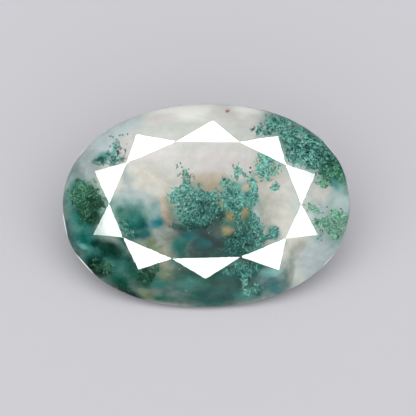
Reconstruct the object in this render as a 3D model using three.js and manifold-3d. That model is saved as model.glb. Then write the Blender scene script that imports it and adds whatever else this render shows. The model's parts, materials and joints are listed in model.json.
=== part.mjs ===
// An oval moss agate in a ten-fold brilliant cut, ground by hand and so a little uneven.
// It lies on the pavilion facet below its long front side, with its table facing up and forward.
// Millimetres, +Z up. The origin is on the surface that it lies on, under the middle of the stone.
//
// The stone is worked out in its own cutting frame and then laid down. In that frame X runs along
// the oval, Y across it, and Z is square to the table. The upper edge of the girdle is at z = 0.

import * as THREE from "three";
import { mergeVertices } from "three/addons/utils/BufferGeometryUtils.js";
import Module from "manifold-3d";

const wasm = await Module();
wasm.setup();

// Girdle outline: an oval slightly fuller than an ellipse, turned a little in the cutting frame.
const LENGTH = 14.0;
const WIDTH = 9.88;
const OUTLINE_POWER = 2.15; // an ellipse has 2
const OUTLINE_TURN = 1.75; // degrees
const OUTLINE_STEPS = 360;

// Heights along the cutting frame's Z.
const CROWN_HEIGHT = 1.05; // from the girdle's upper edge to the table
const GIRDLE_HEIGHT = 0.32;
const PAVILION_DEPTH = 3.85; // from the girdle's lower edge to the point where the mains meet
const CULET_DEPTH = 0.1; // ground off that point, so that it can't chip

// Crown. Each facet sits between or under corners of the table, which are given as [x, y].
const TABLE_CORNERS = [
  [4.62, 0.04],
  [3.86, 1.98],
  [1.62, 3.08],
  [-1.44, 3.11],
  [-3.86, 2.08],
  [-4.71, 0.09],
  [-4.04, -1.54],
  [-1.67, -2.57],
  [1.67, -2.49],
  [3.86, -1.59],
];
const KITE_AZIMUTHS = [358.5, 51, 76, 101, 128.5, 177, 235.5, 258.5, 283.5, 306.5]; // degrees
const STAR_TILTS = [13.5, 21.5, 21.5, 22, 16, 14, 19, 16, 20.5, 15.5]; // degrees from the table

// Pavilion. Its mains stand midway between the kites of the crown, one degree out of line.
const PAVILION_TURN = -1; // degrees
const REST_MAIN = 7; // the main that the stone lies on
const LOWER_GIRDLE_REACH = 0.62; // share of the way from girdle to culet that these facets cover

const LAP_SIZE = 40; // the flat tool that grinds a facet, larger than the stone
const MERGE_DISTANCE = 1e-5;

const radians = THREE.MathUtils.degToRad;
const sides = KITE_AZIMUTHS.length;
const dualPower = OUTLINE_POWER / (OUTLINE_POWER - 1);

// How far the outline reaches along a direction that makes this angle with the oval's own length.
function reachAlong(angle) {
  const along = Math.abs((LENGTH / 2) * Math.cos(angle)) ** dualPower;
  const across = Math.abs((WIDTH / 2) * Math.sin(angle)) ** dualPower;
  return (along + across) ** (1 / dualPower);
}

// The point of the outline whose tangent faces this azimuth, at height z.
function girdlePoint(azimuth, z) {
  const angle = radians(azimuth - OUTLINE_TURN);
  const reach = reachAlong(angle) ** (dualPower - 1);
  const share = (half, part) => (Math.sign(part) * half ** dualPower * Math.abs(part) ** (dualPower - 1)) / reach;
  const point = new THREE.Vector3(share(LENGTH / 2, Math.cos(angle)), share(WIDTH / 2, Math.sin(angle)), z);
  return point.applyAxisAngle(new THREE.Vector3(0, 0, 1), radians(OUTLINE_TURN));
}

// The plane through a point whose normal leans from +Z towards an azimuth by a tilt.
function planeAt(point, azimuth, tilt) {
  const flat = Math.sin(radians(tilt));
  const normal = new THREE.Vector3(
    flat * Math.cos(radians(azimuth)),
    flat * Math.sin(radians(azimuth)),
    Math.cos(radians(tilt)),
  );
  return new THREE.Plane().setFromNormalAndCoplanarPoint(normal, point);
}

// The plane through three points, facing away from the middle of the stone.
function planeThrough(a, b, c) {
  const plane = new THREE.Plane().setFromCoplanarPoints(a, b, c);
  const middle = new THREE.Vector3(0, 0, -GIRDLE_HEIGHT);
  return plane.distanceToPoint(middle) < 0 ? plane : plane.negate();
}

// The point where three facet planes meet.
function meetPoint(p, q, r) {
  const qr = q.normal.clone().cross(r.normal);
  const rp = r.normal.clone().cross(p.normal);
  const pq = p.normal.clone().cross(q.normal);
  const sum = qr.clone().multiplyScalar(-p.constant);
  sum.addScaledVector(rp, -q.constant).addScaledVector(pq, -r.constant);
  return sum.divideScalar(p.normal.dot(qr));
}

// The angle midway from one azimuth on to the next, counter-clockwise.
function midway(from, to) {
  return from + THREE.MathUtils.euclideanModulo(to - from, 360) / 2;
}

const next = (i) => (i + 1) % sides;

// Crown: the table, ten stars around it, ten kites down to the girdle, and a pair of upper girdle
// facets below each star. Every kite touches the girdle in one point at z = 0.
function crownPlanes() {
  const corners = TABLE_CORNERS.map(([x, y]) => new THREE.Vector3(x, y, CROWN_HEIGHT));
  const kites = KITE_AZIMUTHS.map((azimuth, i) => {
    const outward = girdlePoint(azimuth, 0).sub(corners[i]);
    const run = outward.x * Math.cos(radians(azimuth)) + outward.y * Math.sin(radians(azimuth));
    return planeAt(corners[i], azimuth, THREE.MathUtils.radToDeg(Math.atan(CROWN_HEIGHT / run)));
  });
  const stars = corners.map((corner, i) => {
    const edge = corners[next(i)].clone().sub(corner);
    const azimuth = THREE.MathUtils.radToDeg(Math.atan2(-edge.x, edge.y));
    return planeAt(corner, azimuth, STAR_TILTS[i]);
  });
  const upperGirdle = stars.flatMap((star, i) => {
    const tip = meetPoint(kites[i], kites[next(i)], star);
    const before = girdlePoint(KITE_AZIMUTHS[i], 0);
    const after = girdlePoint(KITE_AZIMUTHS[next(i)], 0);
    const between = girdlePoint(midway(KITE_AZIMUTHS[i], KITE_AZIMUTHS[next(i)]), 0);
    return [planeThrough(tip, before, between), planeThrough(tip, between, after)];
  });
  const table = planeAt(corners[0], 0, 0);
  return [table, ...stars, ...kites, ...upperGirdle];
}

// The tilt of a pavilion main below the girdle plane, in degrees. All mains run to one point.
function mainTilt(azimuth) {
  const reach = reachAlong(radians(azimuth - OUTLINE_TURN));
  return THREE.MathUtils.radToDeg(Math.atan(PAVILION_DEPTH / reach));
}

const mainAzimuths = KITE_AZIMUTHS.map((azimuth, i) => midway(azimuth, KITE_AZIMUTHS[next(i)]) + PAVILION_TURN);

// Pavilion: ten mains, a pair of lower girdle facets over each edge between two mains, and a culet.
function pavilionPlanes() {
  const lowerEdge = -GIRDLE_HEIGHT;
  const point = new THREE.Vector3(0, 0, lowerEdge - PAVILION_DEPTH);
  const mains = mainAzimuths.map((azimuth) => planeAt(point, azimuth, 180 - mainTilt(azimuth)));
  const girdlePlane = new THREE.Plane(new THREE.Vector3(0, 0, 1), -lowerEdge);
  const lowerGirdle = mains.flatMap((main, i) => {
    const edgeTop = meetPoint(main, mains[next(i)], girdlePlane);
    const tip = edgeTop.lerp(point, LOWER_GIRDLE_REACH);
    const before = girdlePoint(mainAzimuths[i], lowerEdge);
    const after = girdlePoint(mainAzimuths[next(i)], lowerEdge);
    const between = girdlePoint(midway(mainAzimuths[i], mainAzimuths[next(i)]), lowerEdge);
    return [planeThrough(tip, before, between), planeThrough(tip, between, after)];
  });
  const culet = planeAt(point.clone().setZ(point.z + CULET_DEPTH), 0, 180);
  return [...mains, ...lowerGirdle, culet];
}

// A closed three.js geometry as a solid that can be cut.
function toSolid(geometry) {
  const bare = geometry.clone();
  bare.deleteAttribute("normal");
  bare.deleteAttribute("uv");
  const merged = mergeVertices(bare, MERGE_DISTANCE);
  const mesh = new wasm.Mesh({
    numProp: 3,
    vertProperties: new Float32Array(merged.attributes.position.array),
    triVerts: new Uint32Array(merged.index.array),
  });
  return new wasm.Manifold(mesh);
}

// A cut solid as a three.js geometry, with flat faces and sharp edges.
function toGeometry(solid) {
  const mesh = solid.getMesh();
  const indexed = new THREE.BufferGeometry();
  indexed.setAttribute("position", new THREE.BufferAttribute(new Float32Array(mesh.vertProperties), 3));
  indexed.setIndex(new THREE.BufferAttribute(new Uint32Array(mesh.triVerts), 1));
  const geometry = indexed.toNonIndexed();
  geometry.computeVertexNormals();
  return geometry;
}

// The oval blank, as tall as the stone from its table to the point of its pavilion.
function blank() {
  const outline = Array.from({ length: OUTLINE_STEPS }, (_, i) => {
    const angle = (i * 2 * Math.PI) / OUTLINE_STEPS;
    const across = (part) => Math.sign(part) * Math.abs(part) ** (2 / OUTLINE_POWER);
    return new THREE.Vector2((LENGTH / 2) * across(Math.cos(angle)), (WIDTH / 2) * across(Math.sin(angle)));
  });
  const depth = CROWN_HEIGHT + GIRDLE_HEIGHT + PAVILION_DEPTH;
  const geometry = new THREE.ExtrudeGeometry(new THREE.Shape(outline), { depth, bevelEnabled: false });
  geometry.translate(0, 0, CROWN_HEIGHT - depth);
  geometry.rotateZ(radians(OUTLINE_TURN));
  return toSolid(geometry);
}

// Takes away all of the solid that is in front of a plane.
function grind(solid, plane) {
  const lap = new THREE.BoxGeometry(LAP_SIZE, LAP_SIZE, LAP_SIZE);
  lap.translate(0, 0, LAP_SIZE / 2);
  const foot = plane.coplanarPoint(new THREE.Vector3());
  const turn = new THREE.Quaternion().setFromUnitVectors(new THREE.Vector3(0, 0, 1), plane.normal);
  lap.applyMatrix4(new THREE.Matrix4().compose(foot, turn, new THREE.Vector3(1, 1, 1)));
  return solid.subtract(toSolid(lap));
}

const material = new THREE.MeshStandardMaterial({ color: "#6f9183", roughness: 0.04, metalness: 0 });
const stone = [...crownPlanes(), ...pavilionPlanes()].reduce(grind, blank());
const mossAgate = new THREE.Mesh(toGeometry(stone), material);
mossAgate.name = "moss_agate";

// Laid down: turned until its resting main is level, then moved so that the main is at z = 0 and
// the middle of the stone's box is over the origin.
mossAgate.rotation.x = radians(mainTilt(mainAzimuths[REST_MAIN]));
const laidBox = new THREE.Box3().setFromObject(mossAgate, true);
const laidMiddle = laidBox.getCenter(new THREE.Vector3());
mossAgate.position.set(-laidMiddle.x, -laidMiddle.y, -laidBox.min.z);

const group = new THREE.Group();
group.add(mossAgate);

export default group;
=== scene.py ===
"""A faceted oval moss agate, lying on one of its lower facets on a pale floor.

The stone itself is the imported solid. This script gives it its polished chalcedony finish, which is
clear on the crown and hazy on the girdle and below, and grows the green moss inside it.

Places on the stone are in the cut frame: millimetres, X along the oval, Y across it and Z out of
the table, with the origin at the middle of the table. The frame's mounts say where the table is.
"""

import json
import math

import bpy
import numpy as np
from mathutils import Matrix, Vector


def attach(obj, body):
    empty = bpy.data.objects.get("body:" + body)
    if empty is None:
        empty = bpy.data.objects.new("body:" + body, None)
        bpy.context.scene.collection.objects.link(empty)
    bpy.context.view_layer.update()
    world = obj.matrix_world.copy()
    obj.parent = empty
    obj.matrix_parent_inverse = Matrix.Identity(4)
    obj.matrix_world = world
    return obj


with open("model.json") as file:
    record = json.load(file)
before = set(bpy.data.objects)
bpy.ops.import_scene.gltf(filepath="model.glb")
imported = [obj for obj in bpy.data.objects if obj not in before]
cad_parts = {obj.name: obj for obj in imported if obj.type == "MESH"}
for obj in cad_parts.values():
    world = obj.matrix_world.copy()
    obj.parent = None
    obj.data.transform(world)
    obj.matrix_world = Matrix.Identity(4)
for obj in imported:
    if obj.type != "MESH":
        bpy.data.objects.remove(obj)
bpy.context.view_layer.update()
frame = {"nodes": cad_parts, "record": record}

MM = 0.001
STONE = frame["nodes"]["moss_agate"]
TABLE = next(m for m in frame["record"]["mounts"] if m["name"] == "table")
TABLE_MIDDLE = Vector(TABLE["pos_m"])
TABLE_NORMAL = Vector(TABLE["axis"]).normalized()
TILT = math.atan2(-TABLE_NORMAL.y, TABLE_NORMAL.z)
LAID_DOWN = Matrix.Rotation(TILT, 3, "X")

# The photograph: its side in pixels, how many millimetres one pixel covers at the stone, and the
# pixel that the middle of the stone is at.
PHOTO_SIDE = 416
MM_PER_PIXEL = 0.0485
STONE_PIXEL = (206.2, 205.6)

# Lengths are in millimetres.
CAMERA_DISTANCE = 170.0
SENSOR_WIDTH = 36.0
FLOOR_HALF = 900.0
FLOOR_GAP = 0.02
RNG_SEED = 7

# The light of the room: everywhere, and how much more in the direction of its window. The light
# fades until the cosine of the angle from that direction is WINDOW_EDGE.
ROOM_LIGHT = 1.0
WINDOW_LIGHT = 5.3
WINDOW_TOWARDS = (0, -0.62, 1)
WINDOW_EDGE = 0.35

# Bright cards that the facets around the table mirror: how far away they are, half their side, and
# how bright. At the ends of the stone they lose the share CARD_FADE of their light, over the outward
# reach from CARD_FADE_START to CARD_FADE_END. CARD_FADE_POWER confines that to the ends.
CARD_DISTANCE = 100.0
CARD_HALF = 4.0
CARD_LIGHT = 26.0
CARD_FADE = 0.75
CARD_FADE_START = -1.6
CARD_FADE_END = 1.0
CARD_FADE_POWER = 4

# The stone's triangles that are smaller than this, in square millimetres, are slivers between
# facets. The facets around the table lean from it by this range of degrees.
SLIVER_AREA = 0.002
STAR_LEANS = (12, 23)


def to_world(points):
    """Points of the cut frame, in millimetres, as points of the row frame, in metres."""
    return (np.asarray(points, float) * MM) @ np.array(LAID_DOWN).T + np.array(TABLE_MIDDLE)


def link(name, data):
    """An object for this data, linked into the scene at the origin."""
    made = bpy.data.objects.new(name, data)
    bpy.context.collection.objects.link(made)
    return made


def colour(code):
    """An sRGB hex code as linear RGBA."""
    parts = [int(code[i:i + 2], 16) / 255 for i in (1, 3, 5)]
    linear = [p / 12.92 if p <= 0.04045 else ((p + 0.055) / 1.055) ** 2.4 for p in parts]
    return (*linear, 1.0)


def add(tree, kind, inputs=None, **settings):
    """Adds a node with its settings. Each input is given a value, or the socket that feeds it."""
    node = tree.nodes.new(kind)
    for name, value in settings.items():
        setattr(node, name, value)
    for name, value in (inputs or {}).items():
        if isinstance(value, bpy.types.NodeSocket):
            tree.links.new(value, node.inputs[name])
        else:
            node.inputs[name].default_value = value
    return node


def new_material(name):
    """An empty node material, and its tree."""
    made = bpy.data.materials.new(name)
    made.use_nodes = True
    made.node_tree.nodes.clear()
    return made, made.node_tree


def make_camera():
    """Looks straight down on the table from a macro lens's working distance."""
    data = bpy.data.cameras.new("camera")
    data.sensor_width = SENSOR_WIDTH
    field = PHOTO_SIDE * MM_PER_PIXEL
    data.lens = SENSOR_WIDTH * CAMERA_DISTANCE / field
    data.clip_start = 0.01
    data.clip_end = 5.0
    camera = link("camera", data)
    across = (PHOTO_SIDE / 2 - STONE_PIXEL[0]) * MM_PER_PIXEL
    up = (STONE_PIXEL[1] - PHOTO_SIDE / 2) * MM_PER_PIXEL
    camera.location = to_world([across, up, CAMERA_DISTANCE])
    camera.rotation_euler = (TILT, 0, 0)
    bpy.context.scene.camera = camera


make_camera()


def make_floor():
    """A plain pale floor, just clear of the stone's lowest facet. Light that goes through the stone
    or glances off it misses the floor, which would lie on the haze as a grey veil."""
    # Matt paper: a mid grey that the window lights up to pale, with next to no sheen.
    material, tree = new_material("matt_paper_floor")
    paper = add(tree, "ShaderNodeBsdfPrincipled", {
        "Base Color": colour("#77777a"),
        "Roughness": 0.9,
        "Specular IOR Level": 0.1,
    })
    add(tree, "ShaderNodeOutputMaterial", {"Surface": paper.outputs[0]})
    half = FLOOR_HALF * MM
    low = -FLOOR_GAP * MM
    mesh = bpy.data.meshes.new("floor")
    corners = [(-half, -half, low), (half, -half, low), (half, half, low), (-half, half, low)]
    mesh.from_pydata(corners, [], [(0, 1, 2, 3)])
    mesh.materials.append(material)
    floor = link("floor", mesh)
    floor.visible_transmission = False
    floor.visible_glossy = False


def make_world():
    """A pale room with a large soft light above and in front of the stone, brightest in one direction
    of the row frame and fading smoothly around it. The polish doesn't mirror the room, whose pale
    image would lie on the haze as a veil."""
    world = bpy.data.worlds.new("pale_room")
    bpy.context.scene.world = world
    world.use_nodes = True
    tree = world.node_tree
    direction = add(tree, "ShaderNodeTexCoord").outputs["Generated"]
    towards = Vector(WINDOW_TOWARDS).normalized()
    facing = add(tree, "ShaderNodeVectorMath", {0: direction, 1: towards}, operation="DOT_PRODUCT")
    light = add(tree, "ShaderNodeMapRange", {
        "Value": facing.outputs["Value"],
        "From Min": WINDOW_EDGE,
        "To Min": ROOM_LIGHT,
        "To Max": ROOM_LIGHT + WINDOW_LIGHT,
    }, interpolation_type="SMOOTHSTEP")
    background = tree.nodes["Background"]
    background.inputs["Color"].default_value = (1.0, 1.0, 1.0, 1.0)
    tree.links.new(light.outputs[0], background.inputs["Strength"])
    world.cycles_visibility.glossy = False


make_floor()
make_world()


def facet_polygons():
    """Unit normals, middles and areas of the stone's triangles, in the cut frame, without slivers."""
    mesh = STONE.data
    count = len(mesh.polygons)
    area = np.empty(count)
    normal = np.empty(count * 3)
    centre = np.empty(count * 3)
    mesh.polygons.foreach_get("area", area)
    mesh.polygons.foreach_get("normal", normal)
    mesh.polygons.foreach_get("center", centre)
    real = area > SLIVER_AREA * MM * MM
    turned = normal.reshape(-1, 3)[real] @ np.array(LAID_DOWN)
    middle = (centre.reshape(-1, 3)[real] - np.array(TABLE_MIDDLE)) @ np.array(LAID_DOWN) / MM
    return turned, middle, area[real]


def facet_planes():
    """Unit normals and offsets of the stone's flat faces, in the cut frame."""
    normal, middle, _ = facet_polygons()
    offset = (normal * middle).sum(1)
    _, first = np.unique(np.round(np.c_[normal, offset], 2), axis=0, return_index=True)
    return normal[first], offset[first]


def star_facets():
    """Normals and middles of the ten facets around the table, which lean least from it."""
    normal, middle, area = facet_polygons()
    lean = np.degrees(np.arccos(np.clip(normal[:, 2], -1, 1)))
    star = (lean > STAR_LEANS[0]) & (lean < STAR_LEANS[1])
    normal, middle, area = normal[star], middle[star], area[star]
    _, group = np.unique(np.round(normal, 2), axis=0, return_inverse=True)
    facets = [group.ravel() == k for k in range(group.max() + 1)]
    normals = [normal[facet].mean(0) for facet in facets]
    middles = [np.average(middle[facet], axis=0, weights=area[facet]) for facet in facets]
    return np.array(normals), np.array(middles)


NORMALS, OFFSETS = facet_planes()


def make_star_cards():
    """A small bright card for each of the ten facets around the table, where the facet mirrors it to
    the camera. Only reflections see the cards. Those at the ends of the stone fade outwards."""
    camera = np.array(LAID_DOWN).T @ np.array(bpy.context.scene.camera.location - TABLE_MIDDLE) / MM
    corners = []
    glow = []
    for normal, middle in zip(*star_facets()):
        ray = middle - camera
        ray /= np.linalg.norm(ray)
        mirrored = ray - 2 * (ray @ normal) * normal
        across = np.cross(mirrored, (-normal[1], normal[0], 0))
        across = np.cross(mirrored, across)
        across /= np.linalg.norm(across)
        outward = np.cross(across, mirrored)
        outward *= np.sign(outward[:2] @ normal[:2])
        centre = middle + mirrored * CARD_DISTANCE
        side = across * CARD_HALF
        dim = 1.0 - CARD_FADE * (normal[0] / np.hypot(normal[0], normal[1])) ** CARD_FADE_POWER
        steps = ((-CARD_HALF, 1.0), (CARD_FADE_START, 1.0), (CARD_FADE_END, dim), (CARD_HALF, dim))
        for reach, light in steps:
            corners += [centre + outward * reach - side, centre + outward * reach + side]
            glow += [light, light]
    first = 8 * np.arange(len(corners) // 8)[:, None, None]
    faces = (first + np.array([(0, 1, 3, 2), (2, 3, 5, 4), (4, 5, 7, 6)])).reshape(-1, 4)
    mesh = bpy.data.meshes.new("star_cards")
    mesh.from_pydata(to_world(corners).tolist(), [], faces.tolist())
    values = np.array(glow, np.float32)
    mesh.attributes.new("glow", "FLOAT", "POINT").data.foreach_set("value", values)
    # A lit card: plain even white light, less where its glow is less.
    material, tree = new_material("lit_card")
    lit = add(tree, "ShaderNodeAttribute", attribute_name="glow")
    strength = add(tree, "ShaderNodeMath", {
        0: lit.outputs["Fac"],
        1: CARD_LIGHT,
    }, operation="MULTIPLY")
    light = add(tree, "ShaderNodeEmission", {"Strength": strength.outputs[0]})
    add(tree, "ShaderNodeOutputMaterial", {"Surface": light.outputs[0]})
    material.cycles.emission_sampling = "NONE"
    mesh.materials.append(material)
    cards = link("star_cards", mesh)
    cards.visible_camera = False
    cards.visible_diffuse = False
    cards.visible_transmission = False
    cards.visible_volume_scatter = False
    cards.visible_shadow = False


make_star_cards()


def crown_height(x, y):
    """Height of the crown's surface: the lowest of its facet planes over a point."""
    up = NORMALS[:, 2] > 0.5
    normal, offset = NORMALS[up], OFFSETS[up]
    planes = (offset - np.outer(x, normal[:, 0]) - np.outer(y, normal[:, 1])) / normal[:, 2]
    return planes.min(1)


def depth_inside(points):
    """How far points lie inside the nearest facet."""
    return (OFFSETS - points @ NORMALS.T).min(1)


# Large odd numbers that scatter the bits of a lattice corner's hash, and the bits that are kept.
HASH_AXES = np.array([73856093, 19349663, 83492791])
HASH_SEED = 7919
HASH_MIX = 1274126177
HASH_BITS = 0xFFFFFF


def lattice_noise(points, cell, seed):
    """Smooth noise from 0 to 1: random values on a cubic lattice, eased between its corners."""
    scaled = points / cell
    corner = np.floor(scaled).astype(np.int64)
    part = scaled - corner
    part = part * part * (3 - 2 * part)
    total = np.zeros(len(points))
    for step in np.ndindex(2, 2, 2):
        at = corner + step
        mixed = at @ HASH_AXES + seed * HASH_SEED
        mixed = (mixed ^ (mixed >> 13)) * HASH_MIX
        value = ((mixed ^ (mixed >> 16)) & HASH_BITS) / HASH_BITS
        weight = np.where(np.array(step) == 1, part, 1 - part).prod(1)
        total += value * weight
    return total


# The moss, clump by clump. Each clump is a union of lobes: centre x and y, half-widths, turn in
# degrees, and how much lighter its grains are. The places were chosen one by one. How light a lobe
# is was adjusted by a scratch program, from the difference between renders and the photograph.
CENTRE_BUSH = [
    (-0.86, 0.24, 0.65, 0.69, 0, 0.0),
    (-0.29, -0.34, 0.84, 0.65, 0, -0.1),
    (-1.17, -0.14, 0.42, 0.56, 0, 0.0),
    (-1.29, 0.45, 0.44, 0.44, 0, 0.2),
    (-0.88, 0.74, 0.4, 0.4, 0, 0.1),
    (-0.96, 1.03, 0.19, 0.35, 0, 0.1),
    (-0.98, 1.33, 0.12, 0.33, 5, 0.2),
    (0.29, -0.05, 0.5, 0.59, 0, -0.05),
    (0.46, -0.53, 0.44, 0.48, 0, -0.1),
    (0.0, 0.38, 0.58, 0.31, 0, 0.1),
    (-0.4, 0.83, 0.09, 0.23, 0, 0.3),
    (-0.58, -0.67, 0.73, 0.23, 0, -0.1),
    (0.0, -0.76, 0.35, 0.15, 0, -0.1),
    (-0.19, 0.12, 0.23, 0.21, 0, -0.45),
    (-1.0, -0.04, 0.25, 0.13, 0, -0.5),
    (0.37, -0.8, 0.19, 0.13, 0, -0.5),
    (0.63, -0.43, 0.21, 0.21, 0, -0.35),
    (0.1, -0.24, 0.13, 0.12, 0, -0.3),
    (-0.63, -1.01, 0.86, 0.09, 0, -0.4),
    (-1.29, 0.18, 0.13, 0.1, 0, 0.0),
]
RIGHT_BUSH = [
    (1.9, 1.38, 0.12, 0.13, 0, -0.1),
    (1.1, 0.53, 0.46, 0.56, 0, 0.1),
    (0.9, 1.03, 0.19, 0.19, 0, 0.1),
    (1.29, 0.91, 0.25, 0.35, 0, 0.2),
    (1.46, 1.34, 0.1, 0.35, 0, 0.2),
    (1.6, 1.72, 0.12, 0.21, 0, 0.3),
    (1.58, 2.06, 0.04, 0.17, 0, 0.15),
    (1.61, -0.05, 0.29, 0.54, 0, 0.1),
    (1.3, -0.14, 0.29, 0.42, 0, -0.05),
    (2.06, 1.08, 0.19, 0.25, 0, -0.05),
    (2.0, 1.41, 0.12, 0.12, 0, -0.5),
    (2.28, 0.81, 0.15, 0.54, 0, 0.2),
    (2.34, 0.19, 0.14, 0.58, 0, 0.05),
    (2.28, -0.62, 0.19, 0.73, 0, -0.05),
    (2.02, 0.29, 0.12, 0.42, 0, 0.0),
    (1.42, 0.42, 0.09, 0.09, 0, -0.5),
    (2.01, -1.49, 0.63, 0.4, 0, -0.2),
    (2.38, -1.01, 0.31, 0.33, 0, 0.0),
    (1.34, -1.79, 0.56, 0.31, 0, -0.3),
    (1.63, -2.18, 0.84, 0.17, 0, -0.2),
    (0.91, -1.6, 0.23, 0.21, 0, 0.0),
    (2.57, -1.66, 0.27, 0.27, 0, 0.05),
    (1.61, -0.91, 0.17, 0.21, 0, -0.1),
    (1.84, -1.5, 0.17, 0.13, 0, -0.5),
    (1.56, -1.92, 0.15, 0.17, 0, -0.5),
    (0.99, -2.18, 0.15, 0.12, 0, -0.5),
]
UPPER_RIGHT = [
    (2.51, 3.48, 0.17, 0.12, 0, -0.1),
    (3.18, 1.54, 0.17, 0.12, 0, 0.4),
    (2.88, 2.14, 0.54, 0.36, -20, 0.25),
    (2.61, 1.77, 0.33, 0.31, 0, 0.25),
    (2.85, 1.49, 0.25, 0.27, 0, 0.2),
    (3.04, 1.21, 0.1, 0.07, 0, -0.05),
    (2.46, 2.44, 0.1, 0.12, 0, -0.1),
    (3.34, 0.93, 0.21, 0.21, 0, 0.25),
    (3.18, 1.77, 0.4, 0.35, 0, 0.2),
    (3.33, 4.1, 0.38, 0.33, 0, 0.1),
    (3.07, 3.67, 0.52, 0.25, 0, 0.0),
    (2.61, 3.58, 0.23, 0.09, 0, -0.4),
    (2.28, 3.66, 0.09, 0.05, 20, -0.5),
    (3.74, 3.86, 0.52, 0.44, 0, 0.1),
    (4.31, 3.31, 0.82, 0.56, -30, 0.1),
    (4.89, 2.73, 0.94, 0.73, -20, 0.0),
    (5.75, 2.4, 0.58, 0.54, 0, 0.0),
    (4.41, 2.44, 0.52, 0.42, 0, 0.05),
    (5.32, 1.89, 0.56, 0.21, -15, -0.05),
    (3.93, 3.1, 0.21, 0.61, 10, 0.05),
]
RIGHT_RIM = [
    (5.56, 1.12, 0.27, 0.12, -10, 0.5),
    (5.9, 0.93, 0.21, 0.11, 0, 0.15),
    (6.09, 2.3, 0.42, 0.56, -30, -0.15),
    (6.31, 1.77, 0.35, 0.48, 0, 0.1),
    (5.85, 1.49, 0.48, 0.25, 0, 0.1),
    (6.52, 1.37, 0.23, 0.33, 0, 0.35),
]
RIGHT_END = [
    (5.85, -0.81, 0.52, 0.29, 0, 0.05),
    (6.31, -0.72, 0.42, 0.38, 0, 0.15),
    (6.16, -1.12, 0.5, 0.25, 0, 0.1),
    (6.52, -1.16, 0.25, 0.25, 0, 0.1),
    (5.08, -0.11, 0.19, 0.17, 0, 0.1),
    (5.33, -0.24, 0.12, 0.15, 0, 0.1),
    (5.47, -0.93, 0.19, 0.21, 0, 0.05),
    (6.69, -0.64, 0.19, 0.31, 0, 0.2),
    (6.23, -0.32, 0.21, 0.13, 0, 0.2),
    (6.28, -1.52, 0.19, 0.12, 0, 0.15),
    (5.48, -1.56, 0.12, 0.07, 0, -0.1),
]
UPPER_LEFT = [
    (-4.95, 2.02, 0.23, 0.13, 0, -0.2),
    (-4.49, 2.73, 0.08, 0.25, 20, 0.2),
    (-4.7, 2.04, 0.25, 0.12, 0, -0.1),
    (-5.32, 2.04, 0.12, 0.1, 0, 0.0),
    (-4.27, 2.56, 0.13, 0.38, 0, -0.3),
    (-4.29, 3.04, 0.08, 0.12, -20, -0.4),
    (-4.27, 2.73, 0.11, 0.21, 0, -0.2),
    (-4.22, 2.44, 0.12, 0.17, 0, -0.3),
    (-4.53, 2.29, 0.23, 0.09, 0, 0.1),
    (-4.89, 2.25, 0.21, 0.12, 0, -0.1),
    (-5.06, 2.08, 0.13, 0.12, 0, -0.45),
    (-4.31, 2.16, 0.23, 0.09, 0, -0.2),
    (-4.72, 2.4, 0.07, 0.12, 0, -0.05),
    (-4.03, 2.2, 0.1, 0.13, 0, -0.3),
    (-3.89, 2.44, 0.04, 0.25, 0, -0.15),
    (-3.87, 3.0, 0.02, 0.17, 0, -0.5),
]
LEFT_END = [
    (-6.17, 1.14, 0.12, 0.12, 0, -0.1),
    (-5.99, 0.89, 0.36, 0.21, 0, 0.1),
    (-5.75, 0.6, 0.56, 0.36, 0, 0.0),
    (-6.14, 0.41, 0.36, 0.46, 0, 0.0),
    (-5.51, -0.07, 0.54, 0.56, 0, -0.3),
    (-5.37, 0.72, 0.12, 0.1, 0, -0.2),
    (-5.32, -0.58, 0.35, 0.35, 0, -0.4),
    (-6.5, 0.53, 0.13, 0.31, 0, 0.15),
    (-5.85, -0.16, 0.46, 0.54, 0, -0.1),
    (-5.16, 0.24, 0.13, 0.4, 0, -0.2),
    (-5.34, 1.1, 0.07, 0.13, 0, -0.1),
]
LOWER_LEFT = [
    (-5.18, -2.92, 0.44, 0.31, 0, -0.25),
    (-4.79, -3.23, 0.27, 0.21, 0, -0.3),
    (-5.39, -2.71, 0.21, 0.21, 0, -0.15),
    (-3.74, -4.09, 0.36, 0.13, -20, -0.4),
]
LOWER_LEFT_CLUMP = [
    (-2.88, -3.31, 0.46, 0.38, 0, -0.3),
    (-2.42, -2.96, 0.13, 0.17, 0, -0.05),
    (-3.26, -3.26, 0.15, 0.23, 0, -0.2),
    (-2.61, -3.58, 0.23, 0.17, 0, -0.5),
]
LOWER_RIGHT = [
    (1.73, -2.95, 0.56, 0.21, 0, -0.1),
    (2.11, -3.1, 0.35, 0.25, 0, -0.1),
    (1.25, -3.14, 0.36, 0.19, 0, -0.1),
    (1.87, -3.38, 0.25, 0.19, 0, -0.1),
    (2.57, -2.91, 0.19, 0.11, 0, 0.5),
    (1.88, -3.83, 0.13, 0.27, 0, 0.25),
    (2.01, -4.17, 0.21, 0.15, 0, 0.15),
    (2.4, -4.02, 0.27, 0.23, 0, -0.05),
    (2.54, -3.98, 0.12, 0.12, 0, -0.15),
]
TABLE_LEFT = [
    (-4.14, -0.78, 0.11, 0.17, 0, -0.1),
    (-3.93, -1.05, 0.23, 0.23, 0, -0.15),
    (-3.74, -1.33, 0.19, 0.19, 0, 0.0),
    (-3.58, -1.18, 0.08, 0.13, 0, -0.3),
]
TABLE_RIGHT = [
    (3.33, -1.26, 0.19, 0.23, 0, 0.05),
    (3.16, -1.49, 0.25, 0.15, 0, -0.05),
    (2.93, -1.58, 0.12, 0.08, 0, 0.2),
]
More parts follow.
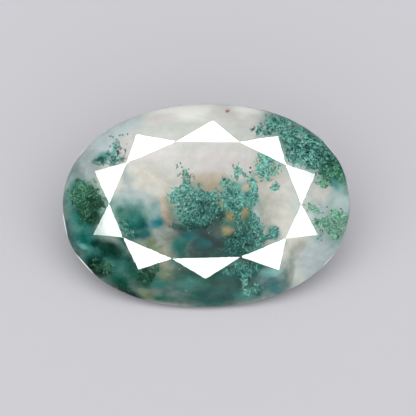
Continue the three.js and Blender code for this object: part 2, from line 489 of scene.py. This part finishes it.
# Places where the haze shows through the moss: centre x and y, half-widths, turn in degrees.
GAPS = [
    (2.31, 1.83, 0.12, 0.19, 0, 0),
    (2.95, -1.08, 0.12, 0.14, 0, 0),
    (2.01, 0.85, 0.14, 0.12, 0, 0),
    (1.7, 1.33, 0.12, 0.13, 0, 0),
    (1.88, -0.25, 0.21, 0.12, 0, 0),
    (1.81, -0.62, 0.14, 0.25, 0, 0),
    (1.2, -0.5, 0.09, 0.15, 0, 0),
    (1.05, -1.18, 0.21, 0.13, 0, 0),
    (0.69, 0.05, 0.09, 0.15, 0, 0),
    (4.03, 3.79, 0.15, 0.07, 0, 0),
    (4.45, 3.24, 0.17, 0.1, 0, 0),
    (4.08, 2.44, 0.09, 0.12, 0, 0),
    (5.46, 1.71, 0.12, 0.08, 0, 0),
    (3.09, 3.66, 0.11, 0.08, 0, 0),
    (5.01, 2.75, 0.1, 0.07, 0, 0),
    (-4.51, 2.58, 0.09, 0.13, 0, 0),
    (-4.67, 2.05, 0.08, 0.06, 0, 0),
    (5.34, -0.49, 0.17, 0.09, 0, 0),
    (2.17, -3.65, 0.12, 0.11, 0, 0),
    (-0.79, -0.34, 0.07, 0.09, 0, 0),
    (-0.53, 0.38, 0.08, 0.06, 0, 0),
]
# Dark specks at the tips of the moss: x, y and how far the grains of one spread.
SPECKS = [
    (-1.43, 1.85, 0.048),
    (-1.41, 1.94, 0.038),
    (-1.19, 1.86, 0.038),
    (-1.25, 2.06, 0.029),
    (-0.85, 1.78, 0.048),
    (-1.13, 1.67, 0.048),
    (-1.09, 1.56, 0.058),
    (-1.25, 1.54, 0.038),
    (-0.76, 1.44, 0.067),
    (-0.58, 1.42, 0.058),
    (-1.36, 1.46, 0.048),
    (-1.11, 1.38, 0.058),
    (-1.04, 1.17, 0.077),
    (-0.38, 1.05, 0.038),
    (0.95, 1.31, 0.067),
    (1.09, 1.21, 0.058),
    (0.84, 1.28, 0.048),
    (1.31, 1.98, 0.038),
    (1.34, 1.85, 0.048),
    (2.14, 1.85, 0.038),
    (2.11, 1.63, 0.048),
    (1.42, 0.42, 0.058),
    (-4.67, 3.37, 0.038),
    (-4.53, 3.32, 0.029),
    (-4.35, 3.23, 0.058),
    (-4.21, 3.39, 0.038),
    (-4.03, 3.41, 0.038),
    (-3.8, 3.48, 0.038),
    (-4.51, 3.02, 0.048),
    (-4.67, 2.86, 0.038),
    (-4.78, 2.66, 0.048),
    (-4.7, 2.46, 0.038),
    (-5.28, 1.99, 0.048),
    (-5.28, 2.19, 0.029),
    (-6.28, 1.29, 0.038),
    (-6.17, 1.27, 0.029),
    (-6.34, 1.07, 0.038),
    (-6.17, 1.07, 0.048),
    (4.72, 0.03, 0.038),
    (4.91, -0.26, 0.038),
    (5.3, -0.65, 0.048),
    (5.52, -1.18, 0.038),
    (5.64, -1.23, 0.029),
    (5.94, -1.28, 0.048),
    (6.42, -1.53, 0.048),
    (6.62, -0.29, 0.038),
    (6.46, -0.45, 0.048),
    (6.56, -0.16, 0.029),
    (5.86, -0.07, 0.038),
    (6.09, -0.26, 0.038),
    (5.28, 1.14, 0.048),
    (2.21, 3.7, 0.048),
    (2.38, -0.62, 0.038),
    (3.02, -1.49, 0.038),
    (-3.51, -1.53, 0.038),
]

# Strings of moss: how many may start below a square millimetre, how many grains each has and how
# far apart they are. Strings start from SHALLOWEST below the crown to DEPTH further down, and no
# grain is nearer than SHALLOWEST to the surface.
STRINGS_PER_MM2 = 900
STRING_GRAINS = 5
STRING_STEP = 0.05
SHALLOWEST = 0.07
DEPTH = 0.7

# How much a string's direction changes at a step, along each axis, and how it tends to climb.
STRING_TURN = (0.7, 0.7, 0.4)
STRING_CLIMB = (0, 0.15, 0)

# Chance that a string starts: how much the depth in a lobe counts, up to which depth, and the sum at
# which a start is certain. Strings are tried as far out as LOBE_REACH half-widths.
LOBE_REACH = 1.2
LOBE_WEIGHT = 1.5
LOBE_CORE = 0.4
CERTAIN_START = 0.8

# Half-widths of a grain, from the smallest to the largest, and how its length, width and thickness
# differ from them.
GRAIN_HALF = (0.02, 0.038)
GRAIN_SHAPE = (1.25, 1.0, 0.8)

# Noise in the moss: weight, cell size and seed of what leaves strings out, then cell size and seed
# of what frays a clump's edge, of what frays a gap, and of light and dark patches.
STRING_NOISES = [(0.4, 0.4, 1), (0.35, 0.18, 2), (0.25, 0.09, 3)]
EDGE_NOISE = (0.12, 6)
GAP_NOISE = (0.1, 5)
PATCH_NOISE = (0.16, 4)
# The first two change slowly with depth, so that a hole in the moss runs down through it.
DEPTH_STRETCH = (1, 1, 0.2)

# How much that noise frays a clump's edge and a gap, and the depths in them at which a clump ends
# and a gap starts.
EDGE_FRAY = 2.4
CLUMP_END = -0.2
GAP_FRAY = 1.2
GAP_START = 0.1

# Tone of a grain: at the middle of the range, then how much patches, strings and single grains
# differ, and how fast it falls, as painted shade, below the depth after it, since less light reaches
# deeper grains.
MIDDLE_TONE = 0.44
PATCH_TONE = 0.5
STRING_TONE = 0.1
GRAIN_TONE = 0.8
DEPTH_SHADE_RATE = 0.5
SHADE_START_DEPTH = 0.2

# Specks: grains in each, how deep they lie, how tight they are, and their darkest and lightest tone.
SPECK_GRAINS = 6
SPECK_DEPTH = 0.14
SPECK_SPREAD = 0.6
SPECK_TONES = (0.1, 0.5)

OCTAHEDRON = np.array([(1, 0, 0), (-1, 0, 0), (0, 1, 0), (0, -1, 0), (0, 0, 1), (0, 0, -1)], float)
OCTAHEDRON_FACES = np.array([
    (0, 2, 4), (2, 1, 4), (1, 3, 4), (3, 0, 4), (2, 0, 5), (1, 2, 5), (3, 1, 5), (0, 3, 5),
])


def lobe_field(points, lobes):
    """How deep points are in the nearest lobe and how light it is. The depth is 1 at a lobe's middle,
    0 at its edge and below 0 outside."""
    best = np.full(len(points), -9.0)
    light = np.zeros(len(points))
    for x, y, half_x, half_y, turn, lighter in lobes:
        c, s = math.cos(math.radians(turn)), math.sin(math.radians(turn))
        dx, dy = points[:, 0] - x, points[:, 1] - y
        depth = 1 - np.hypot((dx * c + dy * s) / half_x, (dy * c - dx * s) / half_y)
        light = np.where(depth > best, lighter, light)
        best = np.maximum(best, depth)
    return best, light


def string_starts(lobes, lace, rng):
    """Where strings of moss start, and how light they are. The chance of a start grows with the depth
    in a lobe and with the noise, and lace is the weight of the noise."""
    reach = [(x, y, LOBE_REACH * max(a, b)) for x, y, a, b, _, _ in lobes]
    low = np.min([(x - r, y - r) for x, y, r in reach], axis=0)
    high = np.max([(x + r, y + r) for x, y, r in reach], axis=0)
    count = int(STRINGS_PER_MM2 * np.prod(high - low))
    x, y = rng.uniform(low, high, (count, 2)).T
    points = np.c_[x, y, crown_height(x, y) - SHALLOWEST - DEPTH * rng.random(count) ** 1.5]
    flat = points * DEPTH_STRETCH
    rough = sum(weight * lattice_noise(flat, cell, seed) for weight, cell, seed in STRING_NOISES)
    field, light = lobe_field(points, lobes)
    sure = LOBE_WEIGHT * np.minimum(field, LOBE_CORE) + lace * (rough - 0.5)
    keep = rng.random(count) < np.clip(sure / CERTAIN_START, 0, 1)
    return points[keep], light[keep]


def moss_grains(lobes, lace, rng):
    """Centres and tones of the grains of a clump. They follow one another along short strings, which
    turn a little at every step and tend to climb. Grains near the surface, past the clump's frayed
    edge or in a gap are left out. A tone is 0 for the darkest grains and 1 for the lightest: it grows
    with the lobe's lightness and the patches, has a random part, and falls with depth as painted
    shade, since less light reaches the deeper grains."""
    tip, light = string_starts(lobes, lace, rng)
    own = rng.normal(size=len(tip))
    heading = rng.normal(size=tip.shape)
    grains = []
    for _ in range(STRING_GRAINS):
        heading += rng.normal(size=tip.shape) * STRING_TURN + STRING_CLIMB
        heading /= np.linalg.norm(heading, axis=1, keepdims=True)
        tip = tip + STRING_STEP * heading
        grains.append(tip)
    points = np.concatenate(grains)
    light = np.tile(light, STRING_GRAINS)
    own = np.tile(own, STRING_GRAINS)
    frayed = lattice_noise(points * DEPTH_STRETCH, *EDGE_NOISE) - 0.5
    edge = lobe_field(points, lobes)[0] + EDGE_FRAY * frayed
    gap = lobe_field(points, GAPS)[0] + GAP_FRAY * (lattice_noise(points, *GAP_NOISE) - 0.5)
    inside = (depth_inside(points) > SHALLOWEST) & (edge > CLUMP_END) & (gap < GAP_START)
    points, light, own = points[inside], light[inside], own[inside]
    depth = crown_height(points[:, 0], points[:, 1]) - points[:, 2]
    patchy = lattice_noise(points, *PATCH_NOISE) - 0.5
    tone = MIDDLE_TONE + light + PATCH_TONE * patchy + STRING_TONE * own
    tone += GRAIN_TONE * (rng.random(len(points)) - 0.5)
    # Grains that lie deeper are darkened: painted shade, for the light that reaches less far in.
    return points, np.clip(tone - DEPTH_SHADE_RATE * (depth - SHADE_START_DEPTH), 0, 1)


def speck_grains(specks, rng):
    """Centres and tones of the grains of the dark specks: a tight little heap for each."""
    x, y, spread = np.repeat(specks, SPECK_GRAINS, axis=0).T
    points = np.c_[x, y, crown_height(x, y) - SPECK_DEPTH]
    points += rng.normal(size=points.shape) * SPECK_SPREAD * spread[:, None]
    return points, rng.uniform(*SPECK_TONES, len(points))


def grow_moss(name, points, tone, material, rng):
    """One mesh of a long octahedron for each point, each turned its own way and shaded as if round.
    The turns are random unit quaternions."""
    count = len(points)
    half = rng.uniform(*GRAIN_HALF, (count, 1, 1)) * np.array(GRAIN_SHAPE)
    turn = rng.normal(size=(count, 4))
    a, b, c, d = (turn / np.linalg.norm(turn, axis=1, keepdims=True)).T
    spin = np.stack([
        1 - 2 * (c * c + d * d), 2 * (b * c - a * d), 2 * (b * d + a * c),
        2 * (b * c + a * d), 1 - 2 * (b * b + d * d), 2 * (c * d - a * b),
        2 * (b * d - a * c), 2 * (c * d + a * b), 1 - 2 * (b * b + c * c),
    ], 1).reshape(-1, 3, 3)
    corners = np.einsum("kij,kvj->kvi", spin, OCTAHEDRON * half) + points[:, None]
    faces = OCTAHEDRON_FACES + 6 * np.arange(count)[:, None, None]
    mesh = bpy.data.meshes.new(name)
    mesh.from_pydata(to_world(corners.reshape(-1, 3)).tolist(), [], faces.reshape(-1, 3).tolist())
    mesh.shade_smooth()
    values = np.repeat(tone, 6).astype(np.float32)
    mesh.attributes.new("tone", "FLOAT", "POINT").data.foreach_set("value", values)
    mesh.materials.append(material)
    piece = link(name, mesh)
    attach(piece, "root")


def moss_material(name, dark, middle, bright):
    """Chlorite moss: dull mineral grains with only a faint sheen, each of its own shade along three
    sRGB hex codes, by a tone that also holds painted shade on the deeper grains. The mixture of dark
    and light grains gives the eye its lacy look."""
    material, tree = new_material(name)
    tone = add(tree, "ShaderNodeAttribute", attribute_name="tone")
    ramp = add(tree, "ShaderNodeValToRGB", {"Fac": tone.outputs["Fac"]})
    ramp.color_ramp.elements[0].color = colour(dark)
    ramp.color_ramp.elements[0].position = 0.15
    ramp.color_ramp.elements[1].color = colour(bright)
    ramp.color_ramp.elements[1].position = 0.85
    ramp.color_ramp.elements.new(0.5).color = colour(middle)
    grain = add(tree, "ShaderNodeBsdfPrincipled", {
        "Base Color": ramp.outputs["Color"],
        "Roughness": 0.55,
    })
    add(tree, "ShaderNodeOutputMaterial", {"Surface": grain.outputs[0]})
    return material


# Most of the moss is blue-green. At the left end and along the right rim it is a deeper green, and
# at the right end a pale one.
TEAL_MOSS = moss_material("teal_moss", "#0c4643", "#4fa699", "#a6e0d4")
GREEN_MOSS = moss_material("dark_green_moss", "#06331f", "#2f8060", "#86c8a8")
PALE_GREEN_MOSS = moss_material("pale_green_moss", "#20654c", "#6cb596", "#bfe8d4")

# Small sprigs have less lace, so that they stay whole.
LACE = 5.0
SPRIG_LACE = 2.0

rng = np.random.default_rng(RNG_SEED)
CLUMPS = [
    ("moss_centre", LACE, CENTRE_BUSH, TEAL_MOSS),
    ("moss_right_of_centre", LACE, RIGHT_BUSH, TEAL_MOSS),
    ("moss_upper_right", LACE, UPPER_RIGHT, TEAL_MOSS),
    ("moss_right_rim", LACE, RIGHT_RIM, GREEN_MOSS),
    ("moss_right_end", LACE, RIGHT_END, PALE_GREEN_MOSS),
    ("moss_upper_left", SPRIG_LACE, UPPER_LEFT, TEAL_MOSS),
    ("moss_left_end", LACE, LEFT_END, GREEN_MOSS),
    ("moss_lower_left", LACE, LOWER_LEFT, GREEN_MOSS),
    ("moss_lower_left_clump", LACE, LOWER_LEFT_CLUMP, GREEN_MOSS),
    ("moss_lower_right", LACE, LOWER_RIGHT, TEAL_MOSS),
    ("moss_table_left", SPRIG_LACE, TABLE_LEFT, TEAL_MOSS),
    ("moss_table_right", SPRIG_LACE, TABLE_RIGHT, TEAL_MOSS),
]
for name, lace, lobes, material in CLUMPS:
    grow_moss(name, *moss_grains(lobes, lace, rng), material, rng)
grow_moss("moss_specks", *speck_grains(SPECKS, rng), GREEN_MOSS, rng)

# Colours of the haze, from pale to dark, and of the clear quartz above it. Most of their values, and
# which cloud has which colour, were not chosen by eye: a scratch program fitted them to the
# photograph's pixels by least squares.
ROSE_WHITE = "#f7f1ef"
SNOW = "#f8efe9"
LINEN = "#d8cfcf"
MILK = "#cfcfca"
PEARL = "#c5cfd3"
SHELL = "#cdc6c3"
WARM_GREY = "#c5bfb7"
SKY_GREY = "#b6c4c4"
SILVER = "#adb5b9"
SAND = "#c2af99"
FOG = "#a6afaf"
TAN = "#bca591"
PALE_SEA = "#91adac"
MIST = "#869e9d"
FLINT = "#9b9789"
SEA_MIST = "#6ba6a3"
ASH = "#868e88"
JADE_MIST = "#689b90"
PALE_TEAL = "#58a098"
CLAY = "#94835d"
GREY_MOSS = "#5f7773"
RUST = "#a35650"
OLIVE = "#637358"
SEA_GREEN = "#128b7b"
LAGOON = "#2e7882"
STEEL = "#3e6e73"
DUSK = "#635b71"
SAGE = "#4c6762"
MOSS_TEAL = "#3a6f61"
STEEL_TEAL = "#316962"
TEAL = "#1c635c"
EMERALD = "#0b614e"
DIM_TEAL = "#1a504f"
DARK_TEAL = "#0b5657"
BOTTLE = "#0b5448"
DARK_MOSS = "#0b4a3b"
DEEP_TEAL = "#0b2e32"
DARK_PINE = "#0b2e26"
CLEAR_QUARTZ = "#f4f6f4"

# Soft clouds of haze, each drawn over the ones before it: colour, share of the light that passes
# there, centre x and y, half-widths, turn in degrees. Between them the haze is MILK, and the share
# HAZE_CLEARNESS passes. A cloud starts at CLOUD_REACH times its half-widths, and eases in over the
# share CLOUD_SOFTNESS of the way from there to its middle.
HAZE_CLEARNESS = 0.1
CLOUD_REACH = 1.5
CLOUD_SOFTNESS = 0.85
CLOUDS = [
    # Broad grounds.
    (SAGE, 0.02, -6.71, -0.14, 1.82, 3.16, 0),
    (PALE_SEA, 0.05, 6.33, -0.53, 1.82, 3.16, 0),
    (DEEP_TEAL, 0.0, -0.1, -3.02, 3.16, 1.25, 0),
    (DARK_PINE, 0.0, -3.55, -2.64, 1.44, 1.05, -25),
    (BOTTLE, 0.0, 2.11, -2.54, 1.15, 0.58, 0),
    # The pale parts of the table.
    (LINEN, 0.12, 0.58, 2.06, 2.01, 0.96, 0),
    (LINEN, 0.12, -2.78, 2.54, 1.53, 0.58, 0),
    (WARM_GREY, 0.12, 3.07, -0.24, 1.25, 1.73, 0),
    (SAND, 0.1, 0.1, 1.01, 1.25, 0.67, 0),
    (SAND, 0.1, -1.82, -0.14, 0.58, 1.15, 0),
    (WARM_GREY, 0.1, -2.97, 1.29, 1.44, 0.86, 0),
    # The top of the crown.
    (ROSE_WHITE, 0.05, -1.44, 4.55, 1.82, 0.53, 4),
    (LINEN, 0.05, -2.21, 3.98, 1.15, 0.38, 0),
    (ROSE_WHITE, 0.05, -0.38, 4.36, 1.25, 0.58, 0),
    (SHELL, 0.05, 1.05, 4.07, 0.86, 0.67, 0),
    (ROSE_WHITE, 0.05, 1.92, 4.46, 0.86, 0.48, -10),
    (LINEN, 0.05, 2.21, 3.79, 0.58, 0.58, 0),
    # The crown at the upper left.
    (PEARL, 0.05, -3.84, 3.79, 1.05, 0.58, 25),
    (PEARL, 0.03, -4.89, 2.83, 0.96, 0.86, 30),
    (FOG, 0.03, -5.75, 2.06, 0.67, 0.77, 35),
    (SAGE, 0.0, -6.52, 1.29, 0.58, 0.67, 20),
    (SILVER, 0.03, -5.45, 1.49, 0.21, 0.29, 0),
    # Smoke at the left of the table, and the tan bar beside it.
    (MIST, 0.05, -3.74, 0.05, 1.25, 0.58, 0),
    (FOG, 0.08, -3.55, 0.62, 0.86, 0.33, 0),
    (FOG, 0.08, -3.98, 1.49, 0.29, 0.77, 20),
    (STEEL_TEAL, 0.0, -3.45, -0.62, 1.25, 0.67, 0),
    (DIM_TEAL, 0.0, -3.36, -1.01, 0.86, 0.38, 0),
    (MIST, 0.05, -2.59, -0.24, 0.5, 0.67, 25),
    (FOG, 0.08, -2.78, 0.24, 0.38, 0.25, 0),
    (LAGOON, 0.0, -2.3, -0.91, 0.54, 0.38, 0),
    (SAND, 0.08, -1.8, -0.34, 0.35, 0.67, 0),
    (OLIVE, 0.05, -2.4, -1.87, 1.05, 0.58, 0),
    (ASH, 0.05, -2.19, -1.47, 0.58, 0.29, 0),
    (FLINT, 0.05, -1.84, -2.21, 0.33, 0.48, 0),
    # The dark lower half of the table, and behind the centre bush.
    (DEEP_TEAL, 0.0, -0.53, -0.91, 1.44, 1.63, 0),
    (MOSS_TEAL, 0.0, 1.53, -0.91, 1.34, 1.73, 0),
    (DEEP_TEAL, 0.0, 0.1, -1.87, 1.25, 0.86, 0),
    (DARK_TEAL, 0.0, -0.82, -1.5, 0.48, 0.38, 0),
    (TEAL, 0.0, -1.34, -2.06, 0.48, 0.48, 0),
    (DARK_TEAL, 0.0, -0.14, -1.85, 0.38, 0.21, 0),
    (DARK_PINE, 0.0, -0.48, -1.01, 1.15, 0.25, 0),
    (JADE_MIST, 0.0, -0.77, 0.14, 0.96, 0.86, 0),
    (LINEN, 0.0, -1.29, 0.53, 0.42, 0.42, 0),
    (TEAL, 0.0, 0.38, -0.05, 0.58, 0.67, 0),
    (DARK_MOSS, 0.0, -0.24, 0.12, 0.35, 0.29, 0),
    (DARK_PINE, 0.0, 0.58, -0.58, 0.36, 0.36, 0),
    # Behind the bush right of the centre, and tan where it is open.
    (PALE_TEAL, 0.0, 1.29, 0.62, 0.67, 0.86, 0),
    (SHELL, 0.0, 1.58, 1.68, 0.27, 0.48, 0),
    (PALE_TEAL, 0.0, 2.21, 0.62, 0.33, 0.96, 0),
    (MOSS_TEAL, 0.0, 2.21, -0.81, 0.42, 0.77, 0),
    (DARK_PINE, 0.0, 1.82, -1.73, 1.05, 0.58, 0),
    (SAND, 0.03, 2.01, 0.85, 0.29, 0.23, 0),
    (CLAY, 0.0, 1.86, -0.35, 0.29, 0.36, 0),
    (CLAY, 0.0, 1.07, -1.18, 0.31, 0.21, 0),
    (CLAY, 0.0, 1.17, -0.5, 0.23, 0.29, 0),
    (CLAY, 0.0, 0.69, 0.05, 0.17, 0.25, 0),
    (TAN, 0.0, 2.88, 1.82, 0.58, 0.77, 0),
    (SHELL, 0.05, 3.34, 0.91, 0.29, 0.29, 0),
    (PEARL, 0.03, 2.49, -1.01, 0.25, 0.86, 0),
    # Behind the two small sprigs of the table.
    (EMERALD, 0.0, -3.91, -1.1, 0.33, 0.54, 20),
    (LAGOON, 0.0, 3.33, -1.37, 0.38, 0.4, 0),
    # The left end.
    (SKY_GREY, 0.0, -6.52, 0.24, 0.86, 1.44, 0),
    (DUSK, 0.0, -6.52, -1.01, 0.86, 1.15, 0),
    (MIST, 0.0, -5.94, -1.2, 0.58, 0.58, 0),
    (ASH, 0.0, -6.79, -0.05, 0.33, 0.67, 0),
    (TEAL, 0.0, -4.99, -2.44, 2.11, 1.44, -38),
    (SEA_GREEN, 0.0, -5.66, -0.05, 1.05, 1.15, 0),
    (SEA_MIST, 0.0, -6.04, 0.81, 0.54, 0.44, 0),
    (DARK_PINE, 0.0, -5.42, -0.24, 0.63, 0.86, 0),
    (SEA_MIST, 0.0, -6.52, 0.43, 0.25, 0.54, 0),
    # The dark lower left.
    (DARK_PINE, 0.0, -4.6, -2.06, 1.15, 0.77, -30),
    (TEAL, 0.0, -5.75, -1.53, 0.63, 0.44, 0),
    (SAGE, 0.0, -5.94, -2.18, 0.52, 0.29, -10),
    (STEEL_TEAL, 0.0, -5.51, -2.06, 0.44, 0.35, 0),
    (DARK_PINE, 0.0, -5.27, -2.88, 0.63, 0.54, -30),
    (STEEL_TEAL, 0.0, -4.41, -2.97, 0.63, 0.63, 0),
    (MOSS_TEAL, 0.0, -4.72, -2.71, 0.29, 0.29, 0),
    (DARK_MOSS, 0.0, -4.22, -3.69, 0.77, 0.48, -25),
    (DARK_PINE, 0.0, -3.74, -4.17, 0.77, 0.29, -15),
    (DEEP_TEAL, 0.0, -3.36, -4.31, 0.38, 0.15, -15),
    # The bottom of the crown.
    (DARK_MOSS, 0.0, -0.29, -3.79, 3.26, 1.44, 0),
    (DARK_MOSS, 0.0, -2.97, -3.31, 0.77, 0.63, 0),
    (OLIVE, 0.03, -2.81, -4.23, 0.54, 0.33, -10),
    (OLIVE, 0.03, -1.98, -2.94, 0.35, 0.48, 0),
    (STEEL_TEAL, 0.0, -2.21, -3.6, 0.48, 0.38, 0),
    (DIM_TEAL, 0.0, 0.67, -4.27, 1.73, 0.77, 0),
    (SAGE, 0.0, -1.44, -4.12, 0.63, 0.38, 0),
    (STEEL_TEAL, 0.0, -0.86, -3.5, 0.86, 0.44, 0),
    (DARK_TEAL, 0.0, 1.63, -3.02, 1.05, 0.54, 0),
    (PALE_TEAL, 0.0, 2.11, -4.12, 0.63, 0.42, 0),
    (SAGE, 0.0, 2.17, -3.65, 0.17, 0.15, 0),
    # The lower right.
    (STEEL, 0.0, 3.26, -3.79, 0.96, 0.77, 0),
    (SEA_MIST, 0.03, 3.02, -2.97, 0.54, 0.29, 0),
    (GREY_MOSS, 0.03, 3.79, -3.21, 0.38, 0.77, 0),
    (FLINT, 0.04, 4.46, -2.06, 0.77, 0.77, 0),
    (SILVER, 0.04, 5.27, -2.44, 1.25, 0.96, 25),
    (ASH, 0.04, 4.07, -2.83, 0.21, 0.86, 0),
    (SILVER, 0.04, 4.89, -2.25, 0.25, 0.77, 0),
    # The right end.
    (SHELL, 0.05, 5.27, 0.62, 0.58, 0.77, 0),
    (SKY_GREY, 0.04, 6.52, 0.14, 0.63, 0.96, 0),
    (PALE_SEA, 0.0, 6.62, 1.01, 0.54, 0.54, 0),
    (MIST, 0.03, 6.76, 0.72, 0.23, 0.33, 0),
    (SKY_GREY, 0.03, 6.14, -0.81, 0.77, 0.67, 0),
    (FOG, 0.03, 5.08, -0.14, 0.35, 0.35, 0),
    (SILVER, 0.05, 5.34, -0.49, 0.23, 0.15, 0),
    # Behind the large bush at the upper right.
    (PALE_TEAL, 0.0, 4.6, 2.83, 1.82, 1.15, -35),
    (SEA_GREEN, 0.0, 6.14, 1.87, 0.77, 0.86, 0),
    (SKY_GREY, 0.0, 3.45, 3.98, 0.92, 0.58, 0),
    (SKY_GREY, 0.03, 4.03, 3.79, 0.23, 0.12, 0),
    (ROSE_WHITE, 0.03, 4.45, 3.24, 0.23, 0.13, 0),
    (ROSE_WHITE, 0.03, 4.08, 2.44, 0.13, 0.17, 0),
    (SEA_MIST, 0.0, 5.94, 1.05, 0.54, 0.23, -30),
    # Behind the sprig at the upper left.
    (SEA_MIST, 0.0, -4.27, 2.56, 0.19, 0.44, 0),
    (SEA_MIST, 0.0, -4.7, 2.21, 0.54, 0.19, 0),
    (LINEN, 0.03, -4.51, 2.58, 0.12, 0.17, 0),
    # Small darker and lighter places.
    (DIM_TEAL, 0.0, -3.07, -1.39, 0.44, 0.29, 0),
    (DIM_TEAL, 0.0, -3.55, -1.51, 0.42, 0.23, 0),
    (DARK_PINE, 0.0, -4.58, -1.66, 0.48, 0.25, 0),
    (TEAL, 0.0, -5.0, 2.0, 0.33, 0.17, 0),
    (ASH, 0.03, -2.24, -1.79, 0.25, 0.19, 0),
    (WARM_GREY, 0.03, 2.31, 1.83, 0.13, 0.19, 0),
    (DARK_PINE, 0.0, 2.3, -4.0, 0.23, 0.19, 0),
    # A red speck and pale specks in the top of the crown.
    (RUST, 0.0, 0.94, 4.37, 0.11, 0.15, 0),
    (SNOW, 0.0, -0.96, 4.38, 0.09, 0.04, 0),
    (SNOW, 0.0, -0.65, 4.33, 0.07, 0.04, 0),
    (SNOW, 0.0, -0.32, 4.37, 0.09, 0.04, 0),
    (SNOW, 0.0, -0.04, 4.28, 0.06, 0.04, 0),
    # More small places.
    (MOSS_TEAL, 0.0, -4.2, -0.34, 0.29, 0.29, 0),
    (BOTTLE, 0.0, -2.2, -4.46, 0.58, 0.21, 8),
    (SEA_MIST, 0.0, -5.88, -1.85, 0.29, 0.15, -10),
    (DARK_PINE, 0.0, -5.21, -1.53, 0.25, 0.21, 0),
    (PALE_TEAL, 0.0, -0.91, -3.82, 0.06, 0.06, 0),
]

# Height in the cut frame at which the haze ends, just below the girdle's upper edge, and over how
# much height it does.
GIRDLE_EDGE = -1.1
GIRDLE_BLEND = 0.04

# Wisps push the clouds' outlines about, and mottle makes them lighter and darker: noise cells to a
# millimetre, the wisps' push in millimetres, and the mottle's range of gamma.
WISP_SCALE = 0.8
WISP_PUSH = 0.6
MOTTLE_SCALE = 2.2
MOTTLE_GAMMA = (1.16, 0.84)


def blend(tree, kind, share, a, b):
    """a, or b where share is 1. A socket or a value each."""
    mix = add(tree, "ShaderNodeMix", {"Factor": share, "A": a, "B": b}, data_type=kind)
    return mix.outputs["Result"]


def soft_ellipse(tree, point, x, y, half_x, half_y, turn):
    """1 inside an ellipse that runs through the stone along Z, easing to 0 across its edge."""
    local = add(tree, "ShaderNodeMapping", {
        "Vector": point,
        "Location": (x, y, 0),
        "Rotation": (0, 0, math.radians(turn)),
        "Scale": (half_x * CLOUD_REACH, half_y * CLOUD_REACH, 1000),
    }, vector_type="TEXTURE")
    ball = add(tree, "ShaderNodeTexGradient", {"Vector": local.outputs[0]}, gradient_type="SPHERICAL")
    soft = add(tree, "ShaderNodeMapRange", {
        "Value": ball.outputs["Fac"],
        "From Max": CLOUD_SOFTNESS,
    }, interpolation_type="SMOOTHSTEP")
    return soft.outputs[0]


def stone_material():
    """Polished chalcedony: clear quartz on the crown, and soft clouds of haze, which let little light
    through, on the girdle and below. The eye sees the clouds through the clear crown, as if deep in
    the stone, under a glassy polish. The specular level is low, because at the usual one the facets
    mirror one another inside the stone, which a slightly cloudy stone breaks up."""
    material, tree = new_material("polished_chalcedony")
    place = add(tree, "ShaderNodeTexCoord")
    shift = -(LAID_DOWN.transposed() @ TABLE_MIDDLE) / MM
    cut = add(tree, "ShaderNodeMapping", {
        "Vector": place.outputs["Object"],
        "Location": shift,
        "Rotation": (-TILT, 0, 0),
        "Scale": (1 / MM, 1 / MM, 1 / MM),
    })
    wisps = add(tree, "ShaderNodeTexNoise", {
        "Vector": cut.outputs[0], "Scale": WISP_SCALE, "Detail": 2.0, "Roughness": 0.5,
    })
    centred = add(tree, "ShaderNodeVectorMath", {
        0: wisps.outputs["Color"],
        1: (0.5, 0.5, 0.5),
    }, operation="SUBTRACT")
    pushed = add(tree, "ShaderNodeVectorMath", {
        0: centred.outputs[0],
        1: (WISP_PUSH, WISP_PUSH, 0.0),
    }, operation="MULTIPLY")
    warped = add(tree, "ShaderNodeVectorMath", {
        0: cut.outputs[0],
        1: pushed.outputs[0],
    }, operation="ADD")
    height = add(tree, "ShaderNodeSeparateXYZ", {"Vector": cut.outputs[0]})
    above = add(tree, "ShaderNodeMapRange", {
        "Value": height.outputs["Z"],
        "From Min": GIRDLE_EDGE - GIRDLE_BLEND,
        "From Max": GIRDLE_EDGE,
    })
    tint = colour(MILK)
    clear = HAZE_CLEARNESS
    for code, clearness, *ellipse in CLOUDS:
        share = soft_ellipse(tree, warped.outputs[0], *ellipse)
        tint = blend(tree, "RGBA", share, tint, colour(code))
        clear = blend(tree, "FLOAT", share, clear, clearness)
    mottle = add(tree, "ShaderNodeTexNoise", {
        "Vector": cut.outputs[0], "Scale": MOTTLE_SCALE, "Detail": 3.0, "Roughness": 0.6,
    })
    gamma = add(tree, "ShaderNodeMapRange", {
        "Value": mottle.outputs["Fac"],
        "From Min": 0.3,
        "From Max": 0.7,
        "To Min": MOTTLE_GAMMA[0],
        "To Max": MOTTLE_GAMMA[1],
    })
    tint = add(tree, "ShaderNodeGamma", {"Color": tint, "Gamma": gamma.outputs[0]}).outputs[0]
    tint = blend(tree, "RGBA", above.outputs[0], tint, colour(CLEAR_QUARTZ))
    clear = blend(tree, "FLOAT", above.outputs[0], clear, 1.0)
    stone = add(tree, "ShaderNodeBsdfPrincipled", {
        "Base Color": tint,
        "Roughness": 0.02,
        "IOR": 1.54,
        "Transmission Weight": clear,
        "Specular IOR Level": 0.2,
    })
    add(tree, "ShaderNodeOutputMaterial", {"Surface": stone.outputs[0]})
    return material


STONE.data.materials.clear()
STONE.data.materials.append(stone_material())

# Whites stay white, as in the photograph.
bpy.context.scene.view_settings.view_transform = "Standard"
